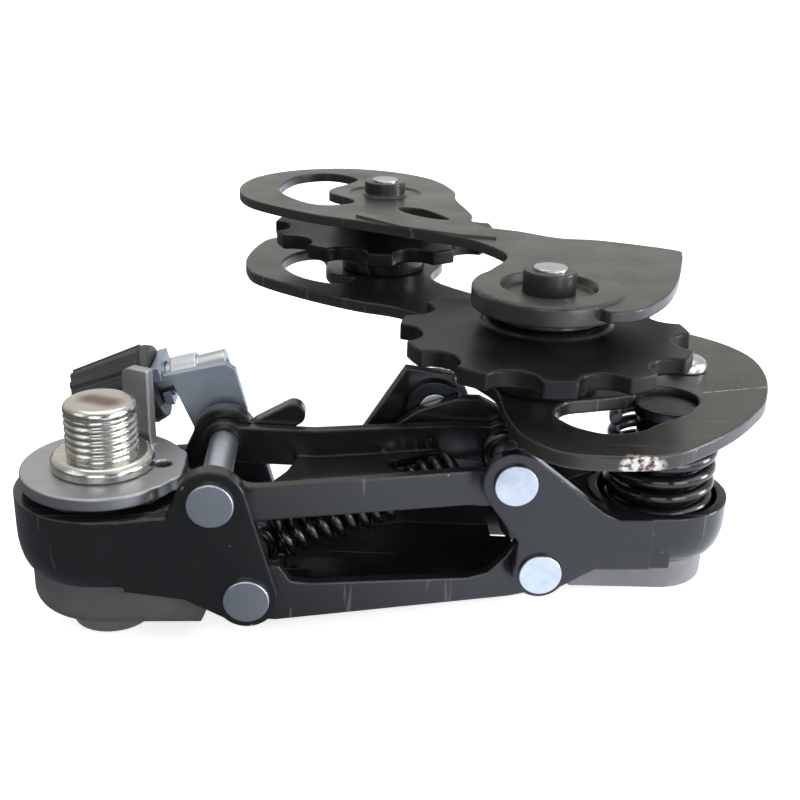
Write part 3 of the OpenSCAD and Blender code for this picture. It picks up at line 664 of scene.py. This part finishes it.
def mesh_of(name: str, points: Sequence[Point], faces: Sequence[Sequence[int]]) -> bpy.types.Mesh:
    """Builds a mesh with outward normals.

    Args:
        name: The mesh's name.
        points: Its corners in millimetres.
        faces: Its faces.

    Returns:
        The mesh, in metres.
    """
    mesh = bpy.data.meshes.new(name)
    mesh.from_pydata([Vector(p) * MM for p in points], [], faces)
    bm = bmesh.new()
    bm.from_mesh(mesh)
    bmesh.ops.recalc_face_normals(bm, faces=bm.faces)
    bm.to_mesh(mesh)
    bm.free()
    return mesh


def lathe(
    loops: Sequence[Callable[[float], Pair]], count: int
) -> tuple[list[Point], list[list[int]]]:
    """Turns a stack of loops about Z into a closed skin.

    Args:
        loops: For each loop, the radius and height at an angle in turns.
        count: How many corners each loop has.

    Returns:
        The corners and the faces.
    """
    points: list[Point] = []
    for loop in loops:
        for i in range(count):
            turn = i / count
            r, z = loop(turn)
            points.append((r * math.cos(turn * math.tau), r * math.sin(turn * math.tau), z))
    faces = []
    for k in range(len(loops) - 1):
        for i in range(count):
            j = (i + 1) % count
            faces.append([k * count + i, k * count + j, (k + 1) * count + j, (k + 1) * count + i])
    faces.append(list(range(count)))
    faces.append([(len(loops) - 1) * count + i for i in range(count)])
    return points, faces


def tube(path: Sequence[Vector], radius: float, sides: int) -> tuple[list[Point], list[list[int]]]:
    """Sweeps a round wire along a path.

    Args:
        path: The points of its middle line, in millimetres.
        radius: The wire's radius in millimetres.
        sides: How many sides the wire has.

    Returns:
        The corners and the faces.
    """
    points: list[Point] = []
    normal = None
    for i, here in enumerate(path):
        ahead = (path[min(i + 1, len(path) - 1)] - path[max(i - 1, 0)]).normalized()
        if normal is None:
            normal = ahead.orthogonal().normalized()
        normal = (normal - ahead * normal.dot(ahead)).normalized()
        side = ahead.cross(normal)
        for k in range(sides):
            a = math.tau * k / sides
            points.append(tuple(here + (normal * math.cos(a) + side * math.sin(a)) * radius))
    faces = []
    for i in range(len(path) - 1):
        for k in range(sides):
            m = (k + 1) % sides
            faces.append([i * sides + k, i * sides + m, (i + 1) * sides + m, (i + 1) * sides + k])
    faces.append(list(range(sides)))
    faces.append([(len(path) - 1) * sides + k for k in range(sides)])
    return points, faces


def prism(outline: Sequence[Pair], low: float, high: float, axis: str = "Z") -> bpy.types.Mesh:
    """Raises a plane outline into a solid.

    Args:
        outline: Its corners, in X and Z for axis Y, or in X and Y for axis Z.
        low: Where it starts along the axis.
        high: Where it ends.
        axis: Y or Z.

    Returns:
        The solid, in metres.
    """
    count = len(outline)
    points = [(a, b, h) if axis == "Z" else (a, h, b) for h in (low, high) for a, b in outline]
    faces = [list(range(count)), list(range(count, 2 * count))]
    faces += [[i, (i + 1) % count, (i + 1) % count + count, i + count] for i in range(count)]
    return mesh_of("prism", points, faces)


def turned(centre: Pair, profile: Sequence[Pair], count: int = 96) -> bpy.types.Mesh:
    """Turns a closed profile of radius and height about an upright axis.

    Args:
        centre: The axis in X and Y.
        profile: The corners of the profile, as radius and height.
        count: How many sides the solid has.

    Returns:
        The ring, in metres.
    """
    points, faces = [], []
    size = len(profile)
    for i in range(count):
        a = math.tau * i / count
        points += [(centre[0] + r * math.cos(a), centre[1] + r * math.sin(a), z) for r, z in profile]
        here, there = i * size, (i + 1) % count * size
        for k in range(size):
            m = (k + 1) % size
            faces.append([here + k, here + m, there + m, there + k])
    return mesh_of("turned", points, faces)


def joined(mesh: bpy.types.Mesh, tools: Sequence[bpy.types.Mesh], way: str) -> bpy.types.Mesh:
    """Cuts solids out of a mesh or adds them to it.

    Args:
        mesh: The mesh to change.
        tools: The solids.
        way: DIFFERENCE or UNION.

    Returns:
        The new mesh.
    """
    work = [bpy.data.objects.new("work", item) for item in (mesh, *tools)]
    for item in work:
        bpy.context.scene.collection.objects.link(item)
    for tool in work[1:]:
        step = work[0].modifiers.new("step", "BOOLEAN")
        step.operation = way
        step.solver = "EXACT"
        step.object = tool
    bpy.context.view_layer.update()
    whole = work[0].evaluated_get(bpy.context.evaluated_depsgraph_get())
    result = bpy.data.meshes.new_from_object(whole)
    for item in work:
        bpy.data.objects.remove(item)
    return result


@dataclass
class Rounded:
    """A carried-over solid whose edges get the small radius that pressing or moulding leaves."""

    node: str
    body: str
    finish: Finish
    radius: float = 0.25
    steps: int = 3
    cuts: Sequence[bpy.types.Mesh] = ()
    pads: Sequence[bpy.types.Mesh] = ()
    weld_mm: float = 0.002
    flat_deg: float = 0.6
    bevel_deg: float = 28.0
    smooth_deg: float = 30.0

    def build(self, shelf: FinishShelf) -> bpy.types.Object:
        """Makes the rounded copy and sets it in place of the node.

        Args:
            shelf: Where the finishes are.

        Returns:
            The new piece.
        """
        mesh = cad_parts[self.node].data.copy()
        bm = bmesh.new()
        bm.from_mesh(mesh)
        bmesh.ops.remove_doubles(bm, verts=bm.verts, dist=self.weld_mm * MM)
        flat = math.radians(self.flat_deg)
        bmesh.ops.dissolve_limit(bm, angle_limit=flat, verts=bm.verts, edges=bm.edges)
        bm.to_mesh(mesh)
        bm.free()
        if self.cuts:
            mesh = joined(mesh, self.cuts, "DIFFERENCE")
        if self.pads:
            mesh = joined(mesh, self.pads, "UNION")
        mesh.name = self.node + "_finish"
        smooth_faces(mesh, self.smooth_deg)
        piece = new_piece(self.node + "_finish", mesh, shelf.get(self.finish))
        bevel = piece.modifiers.new("edge_radius", "BEVEL")
        bevel.width = self.radius * MM
        bevel.segments = self.steps
        bevel.limit_method = "ANGLE"
        bevel.angle_limit = math.radians(self.bevel_deg)
        bevel.use_clamp_overlap = True
        weighted = piece.modifiers.new("flat_faces", "WEIGHTED_NORMAL")
        weighted.keep_sharp = True
        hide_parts(self.node)
        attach(piece, self.body)
        return piece


def set_in_place(piece: bpy.types.Object, node: str, body: str) -> None:
    """Lets a piece stand for a node and move with its body."""
    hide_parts(node)
    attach(piece, body)


@dataclass
class HangerBolt:
    """The bolt that holds the part on the frame, with its fine thread and socket head."""

    thread_r: float = 4.95
    thread_l: float = 7.5
    chamfer: float = 0.95
    pitch: float = 1.0
    depth: float = 0.30
    groove_r: float = 4.5
    ring_h: float = 2.0
    shank_r: float = 5.05
    head_z: float = -20.9
    head_h: float = 5.1
    head_r: float = 5.8
    socket_r: float = 2.9
    socket_depth: float = 4.0
    crest_slope: float = 1.3
    crest_cut: float = 0.15
    run_in: float = 0.8
    run_out: float = 0.5
    corners: int = 144
    steps_per_turn: int = 12

    def hexagon(self, turn: float) -> float:
        """Returns the socket's radius at an angle in turns."""
        part = (turn * 6) % 1 - 0.5
        return self.socket_r * math.cos(math.pi / 6) / math.cos(part * math.pi / 3)

    def thread(self, z: float) -> Callable[[float], Pair]:
        """Returns the loop of the thread at a height."""

        def loop(turn: float) -> Pair:
            """Returns the radius and height at an angle in turns."""
            phase = (z / self.pitch - turn) % 1.0
            wave = abs(phase * 2 - 1)
            crest = min(1.0, max(0.0, wave * self.crest_slope - self.crest_cut))
            ease = min(1.0, max(0.0, z / self.run_in))
            fade = min(1.0, max(0.0, (self.thread_l - self.chamfer - 0.2 - z) / self.run_out))
            over = max(0.0, z - (self.thread_l - self.chamfer))
            limit = self.thread_r - self.chamfer + math.sqrt(max(0.0, self.chamfer**2 - over**2))
            return min(limit, self.thread_r - self.depth * (1 - crest) * ease * fade), z

        return loop

    def build(self, shelf: FinishShelf) -> bpy.types.Object:
        """Makes the bolt.

        Args:
            shelf: Where the finishes are.

        Returns:
            The bolt.
        """
        low = self.head_z - self.head_h

        def ring(r: float, z: float) -> Callable[[float], Pair]:
            """Returns a plain round loop."""
            return lambda turn: (r, z)

        def socket(z: float) -> Callable[[float], Pair]:
            """Returns a hexagonal loop."""
            return lambda turn: (self.hexagon(turn), z)

        loops = [
            ring(0.2, low + self.socket_depth + 0.6),
            socket(low + self.socket_depth),
            socket(low + 0.3),
            lambda turn: (self.hexagon(turn) + 0.3, low),
            ring(self.head_r - 0.7, low),
            ring(self.head_r - 0.2, low + 0.2),
            ring(self.head_r, low + 0.7),
            ring(self.head_r, self.head_z - 0.2),
            ring(self.head_r - 0.2, self.head_z),
            ring(self.shank_r, self.head_z),
            ring(self.shank_r, -self.ring_h),
            ring(self.groove_r, -self.ring_h),
            ring(self.groove_r, -0.01),
            ring(self.thread_r - 0.3, 0.0),
        ]
        steps = int(self.thread_l / self.pitch * self.steps_per_turn)
        loops += [self.thread(0.02 + (self.thread_l - 0.04) * i / steps) for i in range(steps + 1)]
        top_r = self.thread_r - self.chamfer
        loops += [ring(top_r, self.thread_l), ring(top_r * 0.6, self.thread_l), ring(0.3, self.thread_l)]
        mesh = mesh_of("mounting_bolt_finish", *lathe(loops, self.corners))
        smooth_faces(mesh, 40)
        bolt = new_piece("mounting_bolt_finish", mesh, shelf.get(Finish.BRIGHT_ZINC))
        set_in_place(bolt, "mounting_bolt", "hanger_side")
        return bolt


@dataclass
class HangerSide:
    """What stays with the frame's hanger: the bolt, its ring, the stop plate and the hidden spring."""

    bolt: HangerBolt = field(default_factory=HangerBolt)
    body: str = "hanger_side"

    def build(self, shelf: FinishShelf) -> None:
        """Makes the pieces.

        Args:
            shelf: Where the finishes are.
        """
        self.bolt.build(shelf)
        Rounded("retaining_ring", self.body, Finish.BRIGHT_ZINC, 0.3).build(shelf)
        Rounded("stop_plate", self.body, Finish.DULL_ZINC, 0.25).build(shelf)
        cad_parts["b_spring"].data.materials.clear()
        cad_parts["b_spring"].data.materials.append(shelf.get(Finish.SPRING))
        log.info("hanger side: bolt, ring and stop plate")


@dataclass
class HangerKnuckle:
    """The knuckle about the hanger bolt, its cover, the pins and the adjuster."""

    body: str = "hanger_body"
    wall_y: float = -12.0
    web_depth: float = 4.0
    web: tuple[Pair, ...] = ((-0.5, -9.8), (4.3, -15.3), (4.3, -5.0), (-0.5, -5.0))
    bracket_y: float = 12.0
    waist: tuple[Pair, ...] = ((3.0, 4.6), (7.9, 5.0), (11.0, -2.4), (11.0, -9.0), (3.0, -9.0))
    waist_depth: float = 4.0
    foot: tuple[Pair, ...] = ((3.0, 0.3), (9.6, 0.3), (11.0, -2.4), (11.0, -5.0), (3.0, -5.0))
    foot_depth: float = 12.0
    adjuster: Point = (0.0, 18.4, 1.8)
    adjuster_turn: float = math.radians(75)
    collar: tuple[Pair, ...] = ((2.6, 3.9), (5.6, 3.9), (5.9, 4.5), (5.5, 5.6), (2.6, 5.6))

    def build(self, shelf: FinishShelf) -> None:
        """Makes the pieces.

        Args:
            shelf: Where the finishes are.
        """
        web = prism(self.web, self.wall_y, self.wall_y + self.web_depth, "Y")
        Rounded("b_knuckle", self.body, Finish.ENAMEL, 0.45, pads=(web,)).build(shelf)
        Rounded("b_cover", self.body, Finish.COVER, 0.6).build(shelf)
        waist = prism(self.waist, self.bracket_y, self.bracket_y + self.waist_depth, "Y")
        foot = prism(self.foot, self.bracket_y, self.bracket_y + self.foot_depth, "Y")
        Rounded("adjuster_bracket", self.body, Finish.BRACKET_ZINC, 0.2, cuts=(waist, foot)).build(shelf)
        Rounded("limit_screws", self.body, Finish.ZINC, 0.1).build(shelf)
        for pin in ("upper_left_pin", "lower_left_pin"):
            Rounded(pin, self.body, Finish.RIVET, 0.12).build(shelf)
        Rounded("adjuster_barrel", "adjuster", Finish.ZINC, 0.12).build(shelf)
        collar = turned((0.0, 0.0), self.collar)
        lean = Matrix.Rotation(self.adjuster_turn, 4, "Y")
        collar.transform(Matrix.Translation(Vector(self.adjuster) * MM) @ lean)
        Rounded("adjuster_knob", "adjuster", Finish.KNOB, 0.3, pads=(collar,)).build(shelf)
        log.info("hanger knuckle: body, cover, pins and adjuster")


@dataclass
class ReturnSpring:
    """The spring that pulls the linkage outboard, with an eye on each pin."""

    start: Point = (20.3, 2.5, -16.6)
    end: Point = (57.6, 9.0, -4.2)
    wire: float = 0.8
    outside_r: float = 3.5
    pitch: float = 1.9
    turns: int = 15
    first: float = 3.6
    pin_r: float = 2.1
    eye_play: float = 0.1
    leg: float = 1.8
    lead: float = 0.6
    steps: int = 28
    sides: int = 10
    bend: Pair = (0.05, 1.15)

    def build(self, shelf: FinishShelf) -> None:
        """Makes the spring.

        Args:
            shelf: Where the finishes are.
        """
        a, b = Vector(self.start), Vector(self.end)
        along = b - a
        length = along.length
        tilt = math.acos(along.z / length)
        swing = math.atan2(along.y, along.x)
        lean = Matrix.Rotation(swing, 4, "Z") @ Matrix.Rotation(tilt, 4, "Y")
        coil_l = self.turns * self.pitch
        first = self.first
        r = self.outside_r - self.wire
        eye = self.pin_r + self.eye_play + self.wire
        path = [Vector((r, 0, self.leg)), Vector((r, 0, first - self.lead))]
        path += [
            Vector(
                (
                    r * math.cos(math.tau * i / self.steps),
                    r * math.sin(math.tau * i / self.steps),
                    first + i * self.pitch / self.steps,
                )
            )
            for i in range(self.turns * self.steps + 1)
        ]
        path += [Vector((r, 0, first + coil_l + self.lead)), Vector((r, 0, length - self.leg))]
        points, faces = tube([a + lean @ p for p in path], self.wire, self.sides)
        for centre in (a, b):
            angles = [t * math.tau / self.steps for t in range(self.steps + 1)]
            ring = [centre + Vector((eye * math.cos(t), 0.0, eye * math.sin(t))) for t in angles]
            more, skins = tube(ring, self.wire, self.sides)
            shift = len(points)
            points += more
            faces += [[k + shift for k in face] for face in skins]
        mesh = mesh_of("return_spring_finish", points, faces)
        smooth_faces(mesh, 60)
        spring = new_piece("return_spring_finish", mesh, shelf.get(Finish.SPRING))
        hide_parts("return_spring")
        # The eyes keep near their pins, but at full travel the coil bows through the inner link's web.
        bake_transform(spring)


@dataclass
class Linkage:
    """The two links, the return spring and the cable clamp."""

    spring: ReturnSpring = field(default_factory=ReturnSpring)

    def build(self, shelf: FinishShelf) -> None:
        """Makes the pieces.

        Args:
            shelf: Where the finishes are.
        """
        Rounded("outer_link", "outer_arm", Finish.ENAMEL, 0.3).build(shelf)
        Rounded("inner_link", "inner_arm", Finish.ENAMEL, 0.3).build(shelf)
        # The clamp nut's darkened zinc is painted shade.
        Rounded("clamp_nut", "outer_arm", Finish.ZINC_DARKENED_FOR_SHADE, 0.15).build(shelf)
        for node in ("clamp_washer", "clamp_bolt"):
            Rounded(node, "outer_arm", Finish.ZINC, 0.15).build(shelf)
        self.spring.build(shelf)
        log.info("linkage: links, spring and cable clamp")


@dataclass
class CageKnuckle:
    """The knuckle that carries the cage, with its cover, pins and spring."""

    body: str = "cage_body"
    centre: Pair = (81.0, 9.0)
    low: float = -15.16
    wire: float = 1.0
    middle_r: float = 7.28
    pitch: float = 2.55
    turns: float = 6.5
    steps: int = 48

    def build(self, shelf: FinishShelf) -> None:
        """Makes the pieces.

        Args:
            shelf: Where the finishes are.
        """
        Rounded("p_knuckle", self.body, Finish.ENAMEL, 0.4).build(shelf)
        # The cover takes the paler copy of the nylon, painted light.
        Rounded("p_cover", self.body, Finish.PAINTED_LIT_COVER, 0.5).build(shelf)
        for pin in ("upper_right_pin", "lower_right_pin"):
            Rounded(pin, self.body, Finish.RIVET, 0.12).build(shelf)
        r = self.middle_r
        path = []
        for i in range(int(self.turns * self.steps) + 1):
            a = math.tau * i / self.steps
            path.append(
                Vector(
                    (
                        self.centre[0] + r * math.cos(a),
                        self.centre[1] + r * math.sin(a),
                        self.low + i * self.pitch / self.steps,
                    )
                )
            )
        mesh = mesh_of("p_spring_finish", *tube(path, self.wire, 14))
        smooth_faces(mesh, 60)
        spring = new_piece("p_spring_finish", mesh, shelf.get(Finish.SPRING))
        set_in_place(spring, "p_spring", self.body)
        log.info("cage knuckle: body, cover, pins and spring")


@dataclass
class Cage:
    """The two cage plates with their bolts, bushings and pulleys."""

    body: str = "cage"
    inner_top: float = 19.7
    tension: Pair = (41.4, 79.4)
    dish_h: float = 0.3
    dish_radii: tuple[float, ...] = (4.3, 4.4, 6.9, 7.4)
    fold_h: float = 0.35
    fold_root: float = 0.4
    fold: tuple[Pair, ...] = (
        (36.4, 60.4),
        (35.4, 58.6),
        (43.0, 50.6),
        (53.0, 45.2),
        (59.0, 43.6),
        (58.6, 45.4),
        (52.0, 50.0),
        (45.0, 56.6),
    )

    def build(self, shelf: FinishShelf) -> None:
        """Makes the pieces.

        Args:
            shelf: Where the finishes are.
        """
        Rounded("outer_cage_plate", self.body, Finish.PLATE_ENAMEL, 0.35).build(shelf)
        top = self.inner_top
        heights = (top + self.dish_h, top - self.dish_h, top - self.dish_h, top + self.dish_h)
        dish = turned(self.tension, list(zip(self.dish_radii, heights)))
        fold = prism(self.fold, top - self.fold_root, top + self.fold_h)
        plate = Rounded("inner_cage_plate", self.body, Finish.PLATE_ENAMEL, 0.3, cuts=(dish,), pads=(fold,))
        plate.build(shelf)
        # The axle end's darkened zinc is painted shade for its recess.
        Rounded("p_axle", self.body, Finish.ZINC_DARKENED_FOR_SHADE, 0.2).build(shelf)
        for node in ("cage_stop_pin", "guide_bolt", "tension_bolt", "guide_bushing", "tension_bushing"):
            Rounded(node, self.body, Finish.ZINC, 0.2).build(shelf)
        for side in ("guide", "tension"):
            Rounded(side + "_dust_caps", self.body, Finish.ENAMEL, 0.3).build(shelf)
            Rounded(side + "_pulley", side + "_wheel", Finish.PULLEY, 0.45).build(shelf)
        log.info("cage: plates, bolts and pulleys")


@dataclass(frozen=True)
class PhotoCamera:
    """The camera at the photograph's own angle, fitted on the bolt, the pins and the pulleys."""

    place: Point = (32.35, -148.74, 67.87)
    pitch_deg: float = 21.96
    yaw_deg: float = 3.32
    roll_deg: float = 1.70
    lens_mm: float = 52.5

    def build(self) -> None:
        """Makes the camera the scene's own."""
        pitch, yaw, roll = (math.radians(a) for a in (self.pitch_deg, self.yaw_deg, self.roll_deg))
        ahead = Vector((math.sin(yaw) * math.cos(pitch), math.cos(yaw) * math.cos(pitch), -math.sin(pitch)))
        level = Vector((math.cos(yaw), -math.sin(yaw), 0.0))
        above = level.cross(ahead)
        right = level * math.cos(roll) + above * math.sin(roll)
        up = above * math.cos(roll) - level * math.sin(roll)
        data = bpy.data.cameras.new("photo_camera")
        data.sensor_width = 36.0
        data.lens = self.lens_mm
        data.clip_start = 0.01
        camera = bpy.data.objects.new("photo_camera", data)
        camera.matrix_world = Matrix(
            (
                (right.x, up.x, -ahead.x, self.place[0] * MM),
                (right.y, up.y, -ahead.y, self.place[1] * MM),
                (right.z, up.z, -ahead.z, self.place[2] * MM),
                (0, 0, 0, 1),
            )
        )
        bpy.context.scene.collection.objects.link(camera)
        bpy.context.scene.camera = camera


@dataclass(frozen=True)
class Lamp:
    """One softbox."""

    name: str
    place: Point
    aim: Point
    size: float
    power: float

    def build(self) -> None:
        """Hangs the lamp."""
        data = bpy.data.lights.new(self.name, "AREA")
        data.shape = "SQUARE"
        data.size = self.size
        data.energy = self.power
        lamp = bpy.data.objects.new(self.name, data)
        lamp.location = Vector(self.place)
        lamp.rotation_euler = (Vector(self.aim) - Vector(self.place)).to_track_quat("-Z", "Y").to_euler()
        bpy.context.scene.collection.objects.link(lamp)


@dataclass
class Studio:
    """The pale floor, the soft lamps and the surround, which is brightest behind and above."""

    floor_z: float = -26.2
    floor_half: float = 4.0
    warm: str = "#FFFBF5"
    bright_way: Point = (0.25, 0.80, 0.55)
    dark_end: float = 0.10
    bright_end: float = 0.84
    dark_facing: float = -0.45
    bright_facing: float = 0.75
    lamps: tuple[Lamp, ...] = (
        Lamp("softbox_over", (0.05, 0.15, 0.75), (0.04, 0.03, 0.0), 0.8, 3.0),
        Lamp("softbox_left", (-0.6, -0.35, 0.45), (0.03, 0.02, 0.0), 0.5, 1.2),
        Lamp("softbox_right", (0.7, -0.25, 0.35), (0.05, 0.02, 0.0), 0.5, 2.2),
        Lamp("softbox_front", (-0.05, -0.6, 0.22), (0.03, 0.02, 0.0), 0.35, 1.2),
        Lamp("window_strip", (0.5, -0.03, 0.05), (0.04, 0.0, -0.005), 0.12, 1.2),
        Lamp("softbox_low", (0.14, -0.10, 0.03), (0.075, 0.0, -0.012), 0.06, 0.08),
    )

    def build(self) -> None:
        """Lays the floor and hangs the lamps."""
        s, z = self.floor_half / MM, self.floor_z
        mesh = mesh_of("floor", [(-s, -s, z), (s, -s, z), (s, s, z), (-s, s, z)], [[0, 1, 2, 3]])
        floor = new_piece("floor", mesh, PaleBoard().build())
        for lamp in self.lamps:
            lamp.build()
        world = bpy.data.worlds.new("pale_surround")
        bpy.context.scene.world = world
        world.use_nodes = True
        tree = world.node_tree
        tree.nodes.clear()
        light = add_node(tree, "ShaderNodeLightPath", {})
        way = add_node(tree, "ShaderNodeTexCoord", {}).outputs["Generated"]
        facing = add_node(
            tree, "ShaderNodeVectorMath", {"operation": "DOT_PRODUCT", 1: self.bright_way}, {0: way}
        )
        mirrored = add_node(
            tree,
            "ShaderNodeMapRange",
            {
                "interpolation_type": "SMOOTHSTEP",
                "From Min": self.dark_facing,
                "From Max": self.bright_facing,
                "To Min": self.dark_end,
                "To Max": self.bright_end,
            },
            {"Value": facing.outputs["Value"]},
        )
        strength = add_node(
            tree,
            "ShaderNodeMix",
            {"data_type": "FLOAT", 3: 1.0},
            {0: light.outputs["Is Camera Ray"], 2: mirrored.outputs[0]},
        )
        glow = add_node(
            tree, "ShaderNodeBackground", {"Color": linear(self.warm)}, {"Strength": strength.outputs[0]}
        )
        output = add_node(tree, "ShaderNodeOutputWorld", {})
        tree.links.new(glow.outputs[0], output.inputs["Surface"])
        bpy.context.scene.view_settings.view_transform = "Standard"
        log.info("studio: floor and %d lamps", len(self.lamps))


def main() -> None:
    """Builds the camera, the studio and every piece."""
    logging.basicConfig(level=logging.INFO, format="%(message)s")
    PhotoCamera().build()
    Studio().build()
    shelf = FinishShelf()
    for part in (HangerSide(), HangerKnuckle(), Linkage(), CageKnuckle(), Cage()):
        part.build(shelf)


if __name__ == "__main__":
    main()
